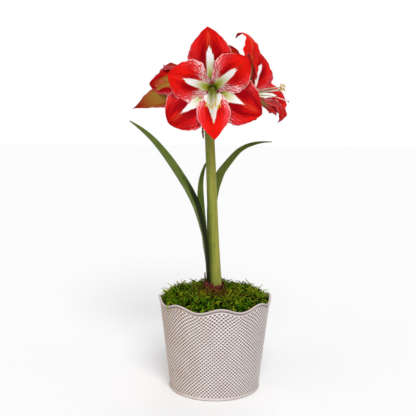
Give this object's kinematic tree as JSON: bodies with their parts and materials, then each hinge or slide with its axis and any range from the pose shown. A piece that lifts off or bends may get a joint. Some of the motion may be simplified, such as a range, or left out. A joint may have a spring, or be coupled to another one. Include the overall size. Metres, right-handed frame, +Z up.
{
  "type": "potted amaryllis",
  "caption": "Amaryllis in bloom with strap leaves and one tall stalk, its bulb set in moss in a tapered dimpled metal pot with a scalloped rim.",
  "frame": {"origin": "centre of the pot's flat base, on the surface it stands on", "axes": "+Z up along the stalk; the viewer of the front bloom stands on the -Y side, with +X to the right"},
  "size_m": [0.2476, 0.2499, 0.5656],
  "materials": {
    "pot": "whitewashed sheet steel, embossed with small dimples, worn and slightly pink",
    "soil": "dark moist potting mix of fine bark and peat",
    "moss": "preserved sheet moss, bright and olive green",
    "bulb": "dry papery maroon and brown bulb scales",
    "stalk": "smooth waxy olive green, slightly streaked",
    "petal": "soft satin red with white midribs, veins and margins and a green throat",
    "stamen": "pale filaments with powdery yellow anthers",
    "leaf": "smooth strap leaf, dark green with fine lengthwise veins",
    "bract": "dry papery brown bract"
  },
  "bodies": {
    "root": {"pot": "pot", "potting_mix": "soil", "moss": "moss", "bulb": "bulb", "scape": "stalk", "spathe_left": "bract", "spathe_back": "bract", "bloom_front": "petal", "bloom_right": "petal", "bloom_left": "petal", "bloom_back": "petal", "stamens_front": "stamen", "stamens_right": "stamen", "stamens_left": "stamen", "stamens_back": "stamen", "leaf_left": "leaf", "leaf_inner": "leaf", "leaf_right": "leaf"}
  },
  "joints": []
}
